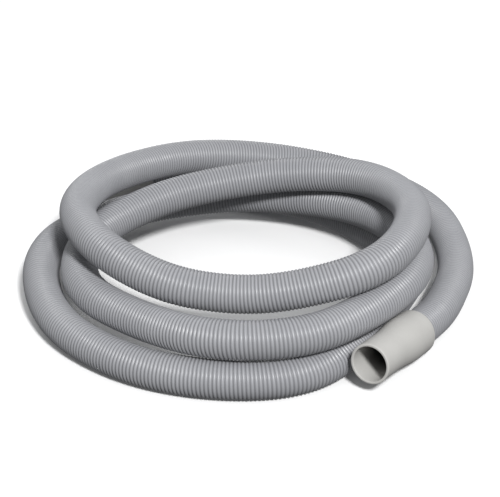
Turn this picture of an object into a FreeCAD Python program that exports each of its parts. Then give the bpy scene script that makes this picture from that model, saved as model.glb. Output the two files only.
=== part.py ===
import FreeCAD, Part
import Sketcher
import math
import os

V = FreeCAD.Vector
doc = FreeCAD.newDocument("hose_kit")

# ---------------------------------------------------------------- dimensions
# All sizes in mm. Axial sizes of the cuff are measured from its hose-side face.
DIMS = [
    ("hose_radius", 23.0),
    ("hose_bore_radius", 19.0),
    ("cuff_length", 112.0),
    ("cuff_barrel_radius", 27.8),
    ("cuff_barrel_length", 34.0),
    ("cuff_blend_end", 55.0),
    ("cuff_neck_radius", 24.6),
    ("cuff_mouth_radius", 24.3),
    ("cuff_mouth_bore_radius", 21.0),
    ("cuff_seat_bore_radius", 21.0),
    ("cuff_socket_radius", 25.8),
    ("cuff_seat_depth", 35.0),
    ("cuff_edge", 1.0),
    ("groove_start", 3.0),
    ("groove_end", 5.1),
    ("groove_radius", 26.6),
    ("ring_start", 3.1),
    ("ring_end", 5.0),
    ("ring_inner_radius", 24.0),
    ("ring_outer_radius", 26.5),
    ("ring_sweep", 332.0),
    ("collar_start", 5.1),
    ("collar_end", 30.0),
    ("collar_radius", 25.72),
    ("collar_land", 6.0),
    ("collar_waist_radius", 25.0),
    ("seal_end", 34.9),
    ("seal_inner_radius", 21.6),
    ("seal_outer_radius", 25.5),
    ("seal_lip", 1.2),
    ("hose_insertion", 30.0),
]

sheet = doc.addObject("Spreadsheet::Sheet", "dims")
for row, (alias, value) in enumerate(DIMS, start=1):
    sheet.set("A%d" % row, alias)
    sheet.set("B%d" % row, str(value))
    sheet.setAlias("B%d" % row, alias)
doc.recompute()


def dim(alias):
    return float(getattr(sheet, alias))


# ------------------------------------------------------------------- placing
# The frame: +Z up, ground at Z = 0, origin under the middle of the coil's box.
COIL_CENTRE_X = 14.93
COIL_CENTRE_Y = -58.52

# Near cuff: hose-side face centre, heading (degrees from +X) and tilt of its mouth.
NEAR_CUFF = (179.5, -111.0, 27.9, 237.0, 7.75)
# Far cuff, behind the coil.
FAR_CUFF = (-161.0, 279.0, 27.9, 206.0, 0.0)


def cuff_axis(cuff):
    heading = math.radians(cuff[3])
    tilt = math.radians(cuff[4])
    flat = math.cos(tilt)
    return V(flat * math.cos(heading), flat * math.sin(heading), math.sin(tilt))


def cuff_face(cuff):
    return V(cuff[0] + COIL_CENTRE_X, cuff[1] + COIL_CENTRE_Y, cuff[2])


def cuff_placement(cuff):
    return FreeCAD.Placement(cuff_face(cuff), FreeCAD.Rotation(V(1, 0, 0), cuff_axis(cuff)))


# --------------------------------------------------------------- hose route
# Stations of the coil, 30 degrees apart and counted on from the near cuff:
# radius from the coil's centre and height of the hose's centre line.
FIRST_ANGLE = 15.0
ANGLE_STEP = 30.0
TURN_ONE = [
    (266, 23), (334, 26), (346, 38), (313, 72), (275, 94), (250, 112),
    (215, 121), (170, 103), (140, 92), (145, 101), (180, 122), (185, 126),
]
TURN_TWO = [
    (195, 121), (195, 114), (180, 101), (180, 88), (200, 78), (235, 65),
    (235, 60), (200, 60), (207, 70.5), (201, 72), (182, 71), (195, 75),
]
TURN_THREE = [
    (195, 72), (195, 66), (205, 54), (235, 42), (250, 33), (303, 42),
    (274, 25), (240, 23), (218, 23), (204, 23), (165.5, 23), (162, 23),
]
LAST_PART = [(205, 23), (216, 23), (258, 23)]
LEAD_IN = (222.0, -45.0, 23.3)
LEAD_OUT = (-34.0, 271.0, 23.3)
STRAIGHT_OUT = 25.0


def cuff_points(cuff):
    """Hose end inside the cuff, and the point where the hose starts to bend."""
    face = cuff_face(cuff)
    axis = cuff_axis(cuff)
    return face + axis * dim("hose_insertion"), face - axis * STRAIGHT_OUT


def route_points():
    near_end, near_exit = cuff_points(NEAR_CUFF)
    far_end, far_exit = cuff_points(FAR_CUFF)
    middle = V(COIL_CENTRE_X, COIL_CENTRE_Y, 0)
    points = [near_end, near_exit, middle + V(*LEAD_IN)]
    stations = TURN_ONE + TURN_TWO + TURN_THREE + LAST_PART
    for index, (radius, height) in enumerate(stations):
        angle = math.radians(FIRST_ANGLE + ANGLE_STEP * index)
        points.append(middle + V(radius * math.cos(angle), radius * math.sin(angle), height))
    points.append(middle + V(*LEAD_OUT))
    points += [far_exit, far_end]
    return points


def route_spans(points):
    """Straight runs joined by tangent arcs, as large as the runs allow.
    Each span holds one arc and half of the run on each side of it."""
    spans = []
    radii = []
    last = len(points) - 2
    for index in range(1, last + 1):
        before, corner, after = points[index - 1:index + 2]
        run_in = corner - before
        run_out = after - corner
        turn = run_in.getAngle(run_out)
        cut = 0.45 * min(run_in.Length, run_out.Length)
        radius = cut / math.tan(turn / 2)
        radii.append(radius)
        u = V(run_in).normalize()
        w = V(run_out).normalize()
        start = before if index == 1 else before + run_in * 0.5
        end = after if index == last else corner + run_out * 0.5
        arc_start = corner - u * cut
        arc_end = corner + w * cut
        inward = V(w - u).normalize()
        centre = corner + inward * (radius / math.cos(turn / 2))
        arc_middle = centre - inward * radius
        edges = [
            Part.LineSegment(start, arc_start).toShape(),
            Part.Arc(arc_start, arc_middle, arc_end).toShape(),
            Part.LineSegment(arc_end, end).toShape(),
        ]
        spans.append((Part.Wire(edges), start, u))
    return spans, radii


def tube_span(wire, start, heading):
    rings = []
    for radius in (dim("hose_radius"), dim("hose_bore_radius")):
        ring = Part.Wire(Part.Circle(start, heading, radius).toShape())
        rings.append(wire.makePipeShell([ring], True, False))
    return rings[0].cut(rings[1])


def make_hose():
    """The hose wall, in spans that meet face to face along its length."""
    spans, radii = route_spans(route_points())
    solids = []
    for span in spans:
        solids += tube_span(*span).Solids
    shape = Part.makeCompound(solids)
    hose = doc.addObject("Part::Feature", "hose_wall")
    hose.Shape = shape
    hose.Label = "hose_wall"
    length = sum(wire.Length for wire, start, heading in spans)
    area = math.pi * (dim("hose_radius") ** 2 - dim("hose_bore_radius") ** 2)
    print("hose length %.1f mm, arc radii %s" % (length, [round(r) for r in radii]))
    print("hose volume %.0f, section times length %.0f" % (shape.Volume, area * length))
    return hose


# ------------------------------------------------------------ turned pieces
def turned(label, corners, placement, sweep=None):
    """A body revolved about its local X axis from a closed outline of
    (axial expression, radius expression) corners."""
    body = doc.addObject("PartDesign::Body", label)
    body.Label = label
    sketch = body.newObject("Sketcher::SketchObject", label + "_outline")
    plane = [f for f in body.Origin.OriginFeatures if f.Role == "XY_Plane"][0]
    sketch.AttachmentSupport = [(plane, "")]
    sketch.MapMode = "FlatFace"
    count = len(corners)
    spots = [V(value(a), value(r), 0) for a, r in corners]
    for index in range(count):
        sketch.addGeometry(Part.LineSegment(spots[index], spots[(index + 1) % count]), False)
    for index in range(count):
        sketch.addConstraint(Sketcher.Constraint("Coincident", index, 2, (index + 1) % count, 1))
    for index, (axial, radius) in enumerate(corners):
        if axial == "0":
            sketch.addConstraint(Sketcher.Constraint("PointOnObject", index, 1, -2))
        else:
            bind(sketch, "DistanceX", index, spots[index].x, axial)
        bind(sketch, "DistanceY", index, spots[index].y, radius)
    doc.recompute()
    turn = body.newObject("PartDesign::Revolution", label + "_turn")
    turn.Profile = sketch
    turn.ReferenceAxis = (sketch, ["H_Axis"])
    if sweep is None:
        turn.Angle = 360.0
    else:
        turn.setExpression("Angle", "dims." + sweep)
    body.Placement = placement
    doc.recompute()
    return body


def value(expression):
    total = 0.0
    for part in expression.replace(" - ", " + -").split(" + "):
        sign = 1.0
        if part.startswith("-"):
            sign = -1.0
            part = part[1:]
        total += sign * (dim(part) if part[0].isalpha() else float(part))
    return total


def sheet_expression(expression):
    words = []
    for word in expression.split(" "):
        words.append("dims." + word if word[0].isalpha() else word)
    return " ".join(words)


def bind(sketch, kind, index, start, expression):
    number = sketch.addConstraint(Sketcher.Constraint(kind, -1, 1, index, 1, start))
    sketch.setExpression("Constraints[%d]" % number, sheet_expression(expression))


SLEEVE = [
    ("0", "cuff_socket_radius + 0.6"),
    ("0", "cuff_barrel_radius - 0.8"),
    ("0.8", "cuff_barrel_radius"),
    ("cuff_barrel_length", "cuff_barrel_radius"),
    ("cuff_barrel_length + 5.0", "cuff_barrel_radius - 0.5"),
    ("cuff_blend_end - 5.0", "cuff_neck_radius + 0.5"),
    ("cuff_blend_end", "cuff_neck_radius"),
    ("cuff_length - cuff_edge", "cuff_mouth_radius"),
    ("cuff_length", "cuff_mouth_radius - cuff_edge"),
    ("cuff_length", "cuff_mouth_bore_radius + cuff_edge"),
    ("cuff_length - cuff_edge", "cuff_mouth_bore_radius"),
    ("cuff_seat_depth", "cuff_seat_bore_radius"),
    ("cuff_seat_depth", "cuff_socket_radius"),
    ("groove_end", "cuff_socket_radius"),
    ("groove_end", "groove_radius"),
    ("groove_start", "groove_radius"),
    ("groove_start", "cuff_socket_radius"),
    ("0.6", "cuff_socket_radius"),
]
RING = [
    ("ring_start", "ring_inner_radius"),
    ("ring_start", "ring_outer_radius"),
    ("ring_end", "ring_outer_radius"),
    ("ring_end", "ring_inner_radius"),
]
COLLAR = [
    ("collar_start", "hose_radius"),
    ("collar_start", "collar_radius"),
    ("collar_start + collar_land", "collar_radius"),
    ("collar_start + collar_land", "collar_waist_radius"),
    ("collar_end - collar_land", "collar_waist_radius"),
    ("collar_end - collar_land", "collar_radius"),
    ("collar_end", "collar_radius"),
    ("collar_end", "hose_radius"),
]
SEAL = [
    ("collar_end", "seal_inner_radius"),
    ("collar_end", "seal_outer_radius"),
    ("seal_end - seal_lip", "seal_outer_radius"),
    ("seal_end", "seal_outer_radius - seal_lip"),
    ("seal_end", "seal_inner_radius + seal_lip"),
    ("seal_end - seal_lip", "seal_inner_radius"),
]


def make_cuff(side, cuff):
    place = cuff_placement(cuff)
    return [
        turned("cuff_sleeve_" + side, SLEEVE, place),
        turned("retaining_ring_" + side, RING, place, "ring_sweep"),
        turned("threaded_collar_" + side, COLLAR, place),
        turned("seal_ring_" + side, SEAL, place),
    ]


# -------------------------------------------------------------------- output
pieces = [make_hose()]
pieces += make_cuff("near", NEAR_CUFF)
pieces += make_cuff("far", FAR_CUFF)
doc.recompute()

box = FreeCAD.BoundBox()
os.makedirs("parts", exist_ok=True)
for item in doc.Objects:
    if "Invalid" in item.State or "Error" in item.State:
        raise RuntimeError("bad state: " + item.Name)
for piece in pieces:
    shape = piece.Shape
    if shape.isNull() or not shape.isValid() or not shape.Solids:
        raise RuntimeError("bad shape: " + piece.Label)
    box.add(shape.optimalBoundingBox(False))
    print("%-24s volume %12.1f mm3, solids %d" % (piece.Label, shape.Volume, len(shape.Solids)))
for piece in pieces:
    piece.Shape.exportStep("parts/" + piece.Label + ".step")
print("box", [round(v, 2) for v in (box.XMin, box.XMax, box.YMin, box.YMax, box.ZMin, box.ZMax)])
print("centre", round(box.Center.x, 3), round(box.Center.y, 3))
for name, cuff in (("near", NEAR_CUFF), ("far", FAR_CUFF)):
    mouth = cuff_face(cuff) + cuff_axis(cuff) * dim("cuff_length")
    print(name, "mouth", mouth, "axis", cuff_axis(cuff), "face", cuff_face(cuff))
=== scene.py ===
import math

import bpy
import numpy as np
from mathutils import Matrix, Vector


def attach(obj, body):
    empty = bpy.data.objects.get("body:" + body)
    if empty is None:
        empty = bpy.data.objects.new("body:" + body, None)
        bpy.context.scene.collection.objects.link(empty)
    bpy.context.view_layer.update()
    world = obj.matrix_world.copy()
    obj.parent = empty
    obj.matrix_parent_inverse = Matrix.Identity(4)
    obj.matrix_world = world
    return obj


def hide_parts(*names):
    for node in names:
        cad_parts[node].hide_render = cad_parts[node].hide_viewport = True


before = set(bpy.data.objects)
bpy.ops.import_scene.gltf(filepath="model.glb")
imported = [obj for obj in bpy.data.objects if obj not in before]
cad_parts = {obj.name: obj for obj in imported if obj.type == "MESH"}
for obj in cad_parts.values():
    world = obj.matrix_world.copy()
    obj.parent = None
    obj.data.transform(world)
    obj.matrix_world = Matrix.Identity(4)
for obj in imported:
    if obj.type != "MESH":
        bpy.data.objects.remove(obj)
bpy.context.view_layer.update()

MM = 0.001
scene = bpy.context.scene

# ------------------------------------------------------------------- camera
CAMERA_TARGET = Vector((-0.00072, -0.03646, 0.0685))
CAMERA_DISTANCE = 1.8308
CAMERA_ELEVATION = math.radians(28.6)
CAMERA_LENS = 105.0
CAMERA_SENSOR = 36.0
CAMERA_REACH = 50.0


def add_camera():
    back = Vector((0.0, -math.cos(CAMERA_ELEVATION), math.sin(CAMERA_ELEVATION)))
    data = bpy.data.cameras.new("camera")
    data.lens = CAMERA_LENS
    data.sensor_width = CAMERA_SENSOR
    data.clip_end = CAMERA_REACH
    camera = bpy.data.objects.new("camera", data)
    camera.location = CAMERA_TARGET + back * CAMERA_DISTANCE
    camera.rotation_euler = (-back).to_track_quat("-Z", "Y").to_euler()
    scene.collection.objects.link(camera)
    scene.camera = camera


add_camera()

# --------------------------------------------------------- the cuffs' places
# Millimetres: face centre (hose side), heading and tilt of the mouth, as in the CAD.
COIL_CENTRE = Vector((14.93, -58.52, 0.0))
NEAR_CUFF = (179.5, -111.0, 27.9, 237.0, 7.75)
FAR_CUFF = (-161.0, 279.0, 27.9, 206.0, 0.0)
HOSE_INSERTION = 30.0
STRAIGHT_OUT = 25.0


def cuff_axis(cuff):
    heading = math.radians(cuff[3])
    tilt = math.radians(cuff[4])
    return Vector((
        math.cos(tilt) * math.cos(heading),
        math.cos(tilt) * math.sin(heading),
        math.sin(tilt),
    ))


def cuff_face(cuff):
    return Vector(cuff[:3]) + COIL_CENTRE


# -------------------------------------------------------------- hose's route
# Stations of the coil every 30 degrees from the near cuff on: radius and height in mm.
FIRST_ANGLE = 15.0
ANGLE_STEP = 30.0
ROUTE_RESOLUTION = 32
STATIONS = [
    (267.8, 23), (334, 26), (346, 38), (313, 72), (275, 94), (250, 112),
    (215, 121), (172, 101.5), (140, 92), (145, 101), (180, 122), (185, 126),
    (195, 121), (195, 114), (180, 101), (180, 88), (200, 78), (235, 65),
    (235, 60), (200, 60), (207, 70.5), (201, 72), (182, 71), (195, 75),
    (195, 72), (195, 66), (205, 54), (235, 42), (276, 33), (301, 42),
    (274, 25), (240, 23), (217, 23), (206.5, 23), (166, 23), (162, 23),
    (205, 23), (216, 23), (256, 23),
]
LEAD_IN = Vector((222.0, -45.0, 23.3))
LEAD_OUT = Vector((-90.0, 292.0, 23.3))


def route_points():
    """The route's control points, in metres."""
    near, far = cuff_face(NEAR_CUFF), cuff_face(FAR_CUFF)
    near_axis, far_axis = cuff_axis(NEAR_CUFF), cuff_axis(FAR_CUFF)
    points = [near + near_axis * HOSE_INSERTION, near - near_axis * STRAIGHT_OUT]
    points.append(COIL_CENTRE + LEAD_IN)
    for index, (radius, height) in enumerate(STATIONS):
        angle = math.radians(FIRST_ANGLE + ANGLE_STEP * index)
        points.append(COIL_CENTRE + Vector((
            radius * math.cos(angle), radius * math.sin(angle), height,
        )))
    points.append(COIL_CENTRE + LEAD_OUT)
    points += [far - far_axis * STRAIGHT_OUT, far + far_axis * HOSE_INSERTION]
    return [p * MM for p in points]


def spline_line(points):
    """Points read from a NURBS spline whose control points are the route's."""
    curve = bpy.data.curves.new("route", "CURVE")
    curve.dimensions = "3D"
    spline = curve.splines.new("NURBS")
    spline.points.add(len(points) - 1)
    for spot, point in zip(spline.points, points):
        spot.co = (*point, 1.0)
    spline.order_u = 3
    spline.use_endpoint_u = True
    spline.resolution_u = ROUTE_RESOLUTION
    holder = bpy.data.objects.new("route", curve)
    scene.collection.objects.link(holder)
    bpy.context.view_layer.update()
    mesh = bpy.data.meshes.new_from_object(holder)
    line = np.array([v.co for v in mesh.vertices], float)
    bpy.data.objects.remove(holder)
    bpy.data.curves.remove(curve)
    bpy.data.meshes.remove(mesh)
    return line


# ---------------------------------------------------------------- hose mesh
HOSE_RADIUS = 23.0 * MM
BORE_RADIUS = 19.0 * MM
RIB_PITCH = 4.4 * MM
AROUND = 36
# One rib from groove to groove: place along the pitch, and depth below the crest.
RIB_ROWS = [
    (0.00, 1.30), (0.13, 0.86), (0.27, 0.22),
    (0.50, 0.00), (0.73, 0.22), (0.87, 0.86),
]
RIB_DEEPEST = 1.30
END_RING_INSET = 0.5 * MM
BORE_STEP = 9.0 * MM
# How much painted shade the hose's bore gets, on the grooves' scale.
HOSE_BORE_PAINTED_SHADE = 0.4
HOSE_END_GAP = 1e-6


class Route:
    """A line with a frame that never twists about it."""

    def __init__(self, line):
        self.line = line
        steps = np.linalg.norm(np.diff(line, axis=0), axis=1)
        self.along = np.concatenate([[0.0], np.cumsum(steps)])
        self.length = self.along[-1]
        tangent = np.gradient(line, self.along, axis=0)
        tangent /= np.linalg.norm(tangent, axis=1)[:, None]
        side = np.zeros_like(line)
        first = np.cross(tangent[0], (0.0, 0.0, 1.0))
        side[0] = first / np.linalg.norm(first)
        for index in range(1, len(line)):
            moved = side[index - 1] - tangent[index] * (side[index - 1] @ tangent[index])
            side[index] = moved / np.linalg.norm(moved)
        self.side = side
        self.rise = np.cross(tangent, side)

    def read(self, values, along):
        return np.stack([np.interp(along, self.along, values[:, k]) for k in range(3)], -1)

    def ring(self, along, radius, angle):
        """Points at the distances along the line, radii and angles given."""
        across = self.read(self.side, along) * np.cos(angle)[..., None]
        across += self.read(self.rise, along) * np.sin(angle)[..., None]
        across /= np.linalg.norm(across, axis=-1)[..., None]
        return self.read(self.line, along) + across * radius[..., None]


def hose_mesh(route):
    """Helically ribbed outside, plain bore, closed by a flat ring at each end, with painted
    shade marked in the grooves and the bore.
    """
    rows = len(RIB_ROWS)
    turns = int(math.ceil(route.length / RIB_PITCH)) + 1
    row_along = []
    row_depth = []
    for turn in range(-1, turns):
        for place, depth in RIB_ROWS:
            row_along.append((turn + place) * RIB_PITCH)
            row_depth.append(depth * MM)
    row_along = np.array(row_along)[:, None]
    row_depth = np.array(row_depth)[:, None]
    column = np.arange(AROUND)[None, :]
    along = row_along + column * RIB_PITCH / AROUND
    angle = column * 2 * math.pi / AROUND + 0 * along
    depth = row_depth + 0 * along
    inside = (along > HOSE_END_GAP) & (along < route.length - HOSE_END_GAP)
    # Rows that fall past an end of the hose gather on that end's ring.
    index = np.where(along <= HOSE_END_GAP, column, column + AROUND)
    index[inside] = 2 * AROUND + np.arange(inside.sum())
    ends = np.arange(AROUND) * 2 * math.pi / AROUND
    rim = np.full(AROUND, HOSE_RADIUS - END_RING_INSET)
    # Painted shade: the deeper a row lies in its groove, the darker its colour is painted.
    painted_shade = depth / (RIB_DEEPEST * MM)
    spots = [
        route.ring(np.zeros(AROUND), rim, ends),
        route.ring(np.full(AROUND, route.length), rim, ends),
        route.ring(along[inside], HOSE_RADIUS - depth[inside], angle[inside]),
    ]
    marks = [np.zeros(2 * AROUND), painted_shade[inside]]

    faces = []
    count = len(row_along)
    here = index[:-1, :-1]
    faces.append(np.stack([
        here, index[:-1, 1:], index[1:, 1:], index[1:, :-1],
    ], -1).reshape(-1, 4))
    # The ribs are helical, so the last column meets the first one a whole pitch on.
    seam = index[:count - rows - 1, -1]
    faces.append(np.stack([
        seam,
        index[rows:count - 1, 0],
        index[rows + 1:, 0],
        index[1:count - rows, -1],
    ], -1).reshape(-1, 4))

    base = 2 * AROUND + int(inside.sum())
    steps = int(round(route.length / BORE_STEP))
    bore_along = np.linspace(0.0, route.length, steps + 1)[:, None] + 0.0 * column
    bore_angle = ends[None, :] + 0 * bore_along
    spots.append(route.ring(
        bore_along.ravel(), np.full(bore_along.size, BORE_RADIUS), bore_angle.ravel(),
    ))
    # Painted shade: the hose's bore is painted part of the way towards the shade colour.
    marks.append(np.full(bore_along.size, HOSE_BORE_PAINTED_SHADE))
    bore = base + np.arange(bore_along.size).reshape(bore_along.shape)
    after = np.roll(bore, -1, axis=1)
    faces.append(np.stack([bore[:-1], bore[1:], after[1:], after[:-1]], -1).reshape(-1, 4))
    start = np.arange(AROUND)
    faces.append(np.stack([start, bore[0], after[0], np.roll(start, -1)], -1))
    stop = start + AROUND
    faces.append(np.stack([stop, np.roll(stop, -1), after[-1], bore[-1]], -1))

    quads = []
    for quad in np.concatenate(faces).tolist():
        corners = [v for k, v in enumerate(quad) if v != quad[k - 1]]
        if len(corners) > 2 and len(set(corners)) == len(corners):
            quads.append(corners)
    mesh = bpy.data.meshes.new("hose_tube")
    mesh.from_pydata(np.concatenate(spots).tolist(), [], quads)
    mesh.polygons.foreach_set("use_smooth", [True] * len(mesh.polygons))
    # The painted shade amount, read by the material.
    mark = mesh.attributes.new("painted_shade", "FLOAT", "POINT")
    mark.data.foreach_set("value", np.concatenate(marks).astype(np.float32))
    mesh.update()
    mesh.validate()
    return mesh


def add_piece(mesh):
    piece = bpy.data.objects.new(mesh.name, mesh)
    scene.collection.objects.link(piece)
    return piece


route = Route(spline_line(route_points()))
hose = add_piece(hose_mesh(route))

# --------------------------------------------------------------- cuff meshes
CUFF_AROUND = 128
ROUNDING_STEPS = 4
SHARP_ANGLE = math.radians(40)
# Millimetres along and across the cuff, from its hose-side face.
CUFF_LENGTH = 112.0
SOCKET_OUTSIDE = 27.8
SOCKET_INSIDE = 25.8
SOCKET_DEPTH = 35.0
RING_GROOVE_START = 3.0
RING_GROOVE_END = 5.1
RING_GROOVE_RADIUS = 26.6
STEP_START = 28.0
STEP_LENGTH = 44.0
STEP_DROP = 3.3
STEP_PARTS = 12
SPIGOT_OUTSIDE = 24.45
SPIGOT_TAPER = 0.0043
SPIGOT_TAPER_START = 75.0
MOUTH_OUTSIDE = 24.3
MOUTH_BORE = 21.0


def rounded(corners):
    """Outline of (axial, radius, rounding) corners with each corner rounded."""
    outline = []
    for index, (axial, radius, rounding) in enumerate(corners):
        corner = Vector((axial, radius))
        if rounding <= 0:
            outline.append(corner)
            continue
        before = Vector(corners[index - 1][:2])
        after = Vector(corners[(index + 1) % len(corners)][:2])
        toward = (before - corner).normalized() * rounding
        away = (after - corner).normalized() * rounding
        for step in range(ROUNDING_STEPS + 1):
            t = step / ROUNDING_STEPS
            first = (corner + toward) * (1 - t) ** 2
            outline.append(first + corner * 2 * t * (1 - t) + (corner + away) * t ** 2)
    return outline


def cuff_corners():
    """Sleeve outline as (axial, radius, rounding): outside, mouth, bore, socket."""
    corners = [(0.0, SOCKET_INSIDE, 0.7), (0.0, SOCKET_OUTSIDE, 1.2)]
    corners += [(axial, SOCKET_OUTSIDE, 0) for axial in (8.0, 14.0, 20.0, 25.0)]
    for step in range(STEP_PARTS + 1):
        t = step / STEP_PARTS
        ease = t * t * (3 - 2 * t)
        corners.append((STEP_START + STEP_LENGTH * t, SOCKET_OUTSIDE - STEP_DROP * ease, 0))
    for axial in (80.0, 90.0, 98.0, 106.0):
        taper = SPIGOT_TAPER * (axial - SPIGOT_TAPER_START)
        corners.append((axial, SPIGOT_OUTSIDE - taper, 0))
    corners += [(CUFF_LENGTH, MOUTH_OUTSIDE, 1.3), (CUFF_LENGTH, MOUTH_BORE, 1.1)]
    corners += [(axial, MOUTH_BORE, 0) for axial in (104.0, 90.0, 75.0, 60.0, 45.0)]
    corners += [(SOCKET_DEPTH, MOUTH_BORE, 0.5), (SOCKET_DEPTH, SOCKET_INSIDE, 0)]
    corners += [(RING_GROOVE_END, SOCKET_INSIDE, 0.2), (RING_GROOVE_END, RING_GROOVE_RADIUS, 0)]
    corners += [(RING_GROOVE_START, RING_GROOVE_RADIUS, 0)]
    corners += [(RING_GROOVE_START, SOCKET_INSIDE, 0.2)]
    return corners


# Painted shade: the bore's colour darkens inwards between these places, in mm from the
# hose-side face.
BORE_SHADE_RADIUS = 22.0
BORE_SHADE_START = 86.0
BORE_SHADE_DEPTH = 28.0


def shade(axial, radius):
    """How much painted shade a point of the outline gets for its depth in the bore, from 0 to
    1.
    """
    if radius > BORE_SHADE_RADIUS:
        return 0.0
    return min(1.0, max(0.0, (BORE_SHADE_START - axial) / BORE_SHADE_DEPTH))


def lathe(name, outline, face, axis):
    """The outline turned about the cuff's axis, as one closed piece."""
    turn = axis.to_track_quat("X", "Z")
    spots = []
    for spoke in range(CUFF_AROUND):
        angle = 2 * math.pi * spoke / CUFF_AROUND
        for axial, radius in outline:
            local = Vector((axial, radius * math.cos(angle), radius * math.sin(angle)))
            spots.append((face + turn @ local) * MM)
    count = len(outline)
    quads = []
    for spoke in range(CUFF_AROUND):
        here = spoke * count
        there = (spoke + 1) % CUFF_AROUND * count
        for k in range(count):
            after = (k + 1) % count
            quads.append((here + k, there + k, there + after, here + after))
    mesh = bpy.data.meshes.new(name)
    mesh.from_pydata(spots, [], quads)
    mesh.polygons.foreach_set("use_smooth", [True] * len(mesh.polygons))
    # The painted shade amount in the bore, read by the material.
    mark = mesh.attributes.new("painted_shade", "FLOAT", "POINT")
    mark.data.foreach_set("value", [shade(*place) for place in outline] * CUFF_AROUND)
    mesh.update()
    mesh.validate()
    mesh.set_sharp_from_angle(angle=SHARP_ANGLE)
    return add_piece(mesh)


cuffs = {}
for side, cuff in (("near", NEAR_CUFF), ("far", FAR_CUFF)):
    outline = rounded(cuff_corners())
    cuffs[side] = lathe("cuff_" + side, outline, cuff_face(cuff), cuff_axis(cuff))


# ---------------------------------------------------------------- materials
def new_material(name):
    material = bpy.data.materials.new(name)
    material.use_nodes = True
    nodes = material.node_tree.nodes
    return material, nodes, material.node_tree.links, nodes["Principled BSDF"]


def noise(nodes, links, scale, detail=3.0, roughness=0.5):
    place = nodes.new("ShaderNodeTexCoord")
    texture = nodes.new("ShaderNodeTexNoise")
    texture.inputs["Scale"].default_value = scale
    texture.inputs["Detail"].default_value = detail
    texture.inputs["Roughness"].default_value = roughness
    links.new(place.outputs["Object"], texture.inputs["Vector"])
    return texture.outputs["Fac"]


def ramp(nodes, links, source, low, high, start=0.3, stop=0.7):
    node = nodes.new("ShaderNodeMapRange")
    node.inputs["From Min"].default_value = start
    node.inputs["From Max"].default_value = stop
    node.inputs["To Min"].default_value = low
    node.inputs["To Max"].default_value = high
    links.new(source, node.inputs["Value"])
    return node.outputs["Result"]


def mix_colour(nodes, links, factor, first, second):
    node = nodes.new("ShaderNodeMix")
    node.data_type = "RGBA"
    for socket, value in (("A", first), ("B", second)):
        target = [s for s in node.inputs if s.name == socket and s.type == "RGBA"][0]
        if isinstance(value, tuple):
            target.default_value = (*value, 1.0)
        else:
            links.new(value, target)
    links.new(factor, node.inputs[0])
    return [s for s in node.outputs if s.type == "RGBA"][0]


def bump(nodes, links, shader, height, strength, distance):
    node = nodes.new("ShaderNodeBump")
    node.inputs["Strength"].default_value = strength
    node.inputs["Distance"].default_value = distance
    links.new(height, node.inputs["Height"])
    links.new(node.outputs["Normal"], shader.inputs["Normal"])


CLOUD_SCALE = 14.0
CLOUD_DETAIL = 4.0
CLOUD_ROUGHNESS = 0.6
SPECK_MOST = 0.35
SPECK_DARKER = 0.8
GLOSS_SCALE = 38.0
GLOSS_SPREAD = 0.06
# Painted shade begins at this amount of the mark.
PAINTED_SHADE_START = 0.15
GRAIN_FINER = 1.7
GRAIN_HEIGHT = 0.0002


def plastic(name, light, dark, roughness, grain, grain_bump, painted_shade=None):
    """Moulded plastic: cloudy colour, fine specks, uneven gloss, a fine grain and, where given,
    painted shade.
    """
    material, nodes, links, shader = new_material(name)
    cloud = noise(nodes, links, CLOUD_SCALE, CLOUD_DETAIL, CLOUD_ROUGHNESS)
    cloud = ramp(nodes, links, cloud, 0.0, 1.0)
    colour = mix_colour(nodes, links, cloud, light, dark)
    speck = ramp(nodes, links, noise(nodes, links, grain, 2.0), 0.0, SPECK_MOST, 0.55, 0.8)
    colour = mix_colour(nodes, links, speck, colour, tuple(c * SPECK_DARKER for c in dark))
    if painted_shade is not None:
        # Painted shade: the colour is darkened towards the shade colour as the mark grows.
        mark = nodes.new("ShaderNodeAttribute")
        mark.attribute_name = "painted_shade"
        depth = ramp(nodes, links, mark.outputs["Fac"], 0.0, 1.0, PAINTED_SHADE_START, 1.0)
        colour = mix_colour(nodes, links, depth, colour, painted_shade)
    links.new(colour, shader.inputs["Base Color"])
    low, high = roughness - GLOSS_SPREAD, roughness + GLOSS_SPREAD
    uneven = ramp(nodes, links, noise(nodes, links, GLOSS_SCALE, 3.0), low, high)
    links.new(uneven, shader.inputs["Roughness"])
    fine = noise(nodes, links, grain * GRAIN_FINER, 2.0)
    bump(nodes, links, shader, fine, grain_bump, GRAIN_HEIGHT)
    return material


HOSE_LIGHT = (0.325, 0.329, 0.346)
HOSE_DARK = (0.285, 0.289, 0.306)
# Painted shade colour for the hose's grooves and bore.
HOSE_PAINTED_SHADE = (0.165, 0.166, 0.176)
CUFF_LIGHT = (0.465, 0.459, 0.442)
CUFF_DARK = (0.425, 0.419, 0.402)
# Painted shade colour for the cuff's deep bore.
CUFF_BORE_PAINTED_SHADE = (0.05, 0.05, 0.048)
RING_LIGHT = (0.13, 0.13, 0.13)
RING_DARK = (0.10, 0.10, 0.10)
COLLAR_LIGHT = (0.21, 0.21, 0.22)
COLLAR_DARK = (0.17, 0.17, 0.18)
SEAL_LIGHT = (0.03, 0.03, 0.03)
SEAL_DARK = (0.02, 0.02, 0.02)

# Roughness, grain scale and grain strength follow the two colours; a last colour, where given,
# is the painted shade.
hose_finish = plastic("hose_plastic", HOSE_LIGHT, HOSE_DARK, 0.41, 900.0, 0.12, HOSE_PAINTED_SHADE)
cuff_finish = plastic("cuff_plastic", CUFF_LIGHT, CUFF_DARK, 0.66, 1500.0, 0.35, CUFF_BORE_PAINTED_SHADE)
ring_finish = plastic("ring_plastic", RING_LIGHT, RING_DARK, 0.45, 1200.0, 0.15)
collar_finish = plastic("collar_plastic", COLLAR_LIGHT, COLLAR_DARK, 0.5, 1200.0, 0.15)
seal_finish = plastic("seal_rubber", SEAL_LIGHT, SEAL_DARK, 0.75, 1800.0, 0.3)


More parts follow.
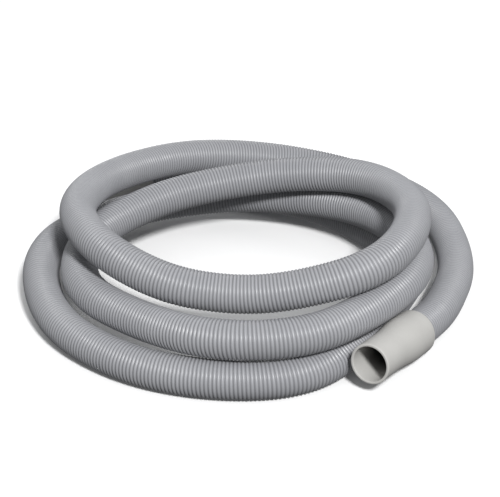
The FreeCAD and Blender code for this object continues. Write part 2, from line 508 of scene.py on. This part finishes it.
def paint(piece, material):
    if piece.data.materials:
        for number in range(len(piece.data.materials)):
            piece.data.materials[number] = material
    else:
        piece.data.materials.append(material)


paint(hose, hose_finish)
for side in ("near", "far"):
    paint(cuffs[side], cuff_finish)
    paint(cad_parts["retaining_ring_" + side], ring_finish)
    paint(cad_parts["threaded_collar_" + side], collar_finish)
    paint(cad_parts["seal_ring_" + side], seal_finish)

# ----------------------------------------------------- bodies and soft goods
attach(hose, "hose")
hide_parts("hose_wall")
for side in ("near", "far"):
    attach(cuffs[side], side + "_cuff")
    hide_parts("cuff_sleeve_" + side)


# ------------------------------------------------------------ floor and light
FLOOR_HALF = 8.0
FLOOR_WHITE = 0.98
KEY_DIRECTION = (0.20, -0.70, 0.69)
KEY_DISTANCE = 5.0
KEY_SIZE = 0.75
KEY_POWER = 275.0
FILL_DIRECTION = (-0.35, 0.85, 0.40)
FILL_SIZE = 2.5
FILL_POWER = 48.0
SKY_TOP = 0.57
SKY_LOW = 0.19
SKY_FULL_HEIGHT = 0.8
SKY_TINT = (0.98, 0.99, 1.0, 1.0)
FLOOR_CLOUD_SCALE = 3.0
FLOOR_CLOUD_DARKER = 0.99


def add_floor():
    half = FLOOR_HALF
    mesh = bpy.data.meshes.new("floor")
    corners = [(-half, -half, 0.0), (half, -half, 0.0), (half, half, 0.0), (-half, half, 0.0)]
    mesh.from_pydata(corners, [], [(0, 1, 2, 3)])
    material, nodes, links, shader = new_material("floor_paper")
    cloud = ramp(nodes, links, noise(nodes, links, FLOOR_CLOUD_SCALE), 0.0, 1.0)
    white = (FLOOR_WHITE,) * 3
    dimmer = tuple(FLOOR_CLOUD_DARKER * c for c in white)
    colour = mix_colour(nodes, links, cloud, white, dimmer)
    links.new(colour, shader.inputs["Base Color"])
    shader.inputs["Roughness"].default_value = 0.9
    shader.inputs["Specular IOR Level"].default_value = 0.1
    mesh.materials.append(material)
    floor = add_piece(mesh)
    floor.visible_diffuse = False
    floor.visible_glossy = False


def add_area(name, direction, distance, size, energy):
    data = bpy.data.lights.new(name, "AREA")
    data.shape = "DISK"
    data.size = size
    data.energy = energy
    light = bpy.data.objects.new(name, data)
    away = Vector(direction).normalized()
    light.location = CAMERA_TARGET + away * distance
    light.rotation_euler = (-away).to_track_quat("-Z", "Y").to_euler()
    scene.collection.objects.link(light)


def add_world():
    """A soft dome, bright overhead and dim towards and below the horizon."""
    world = bpy.data.worlds.new("studio")
    world.use_nodes = True
    nodes, links = world.node_tree.nodes, world.node_tree.links
    place = nodes.new("ShaderNodeTexCoord")
    split = nodes.new("ShaderNodeSeparateXYZ")
    links.new(place.outputs["Generated"], split.inputs["Vector"])
    sky = nodes["Background"]
    sky.inputs["Color"].default_value = SKY_TINT
    glow = ramp(nodes, links, split.outputs["Z"], SKY_LOW, SKY_TOP, 0.0, SKY_FULL_HEIGHT)
    links.new(glow, sky.inputs["Strength"])
    scene.world = world


add_floor()
add_area("key", KEY_DIRECTION, KEY_DISTANCE, KEY_SIZE, KEY_POWER)
add_area("fill", FILL_DIRECTION, KEY_DISTANCE, FILL_SIZE, FILL_POWER)
add_world()
scene.view_settings.view_transform = "Standard"
scene.view_settings.look = "None"
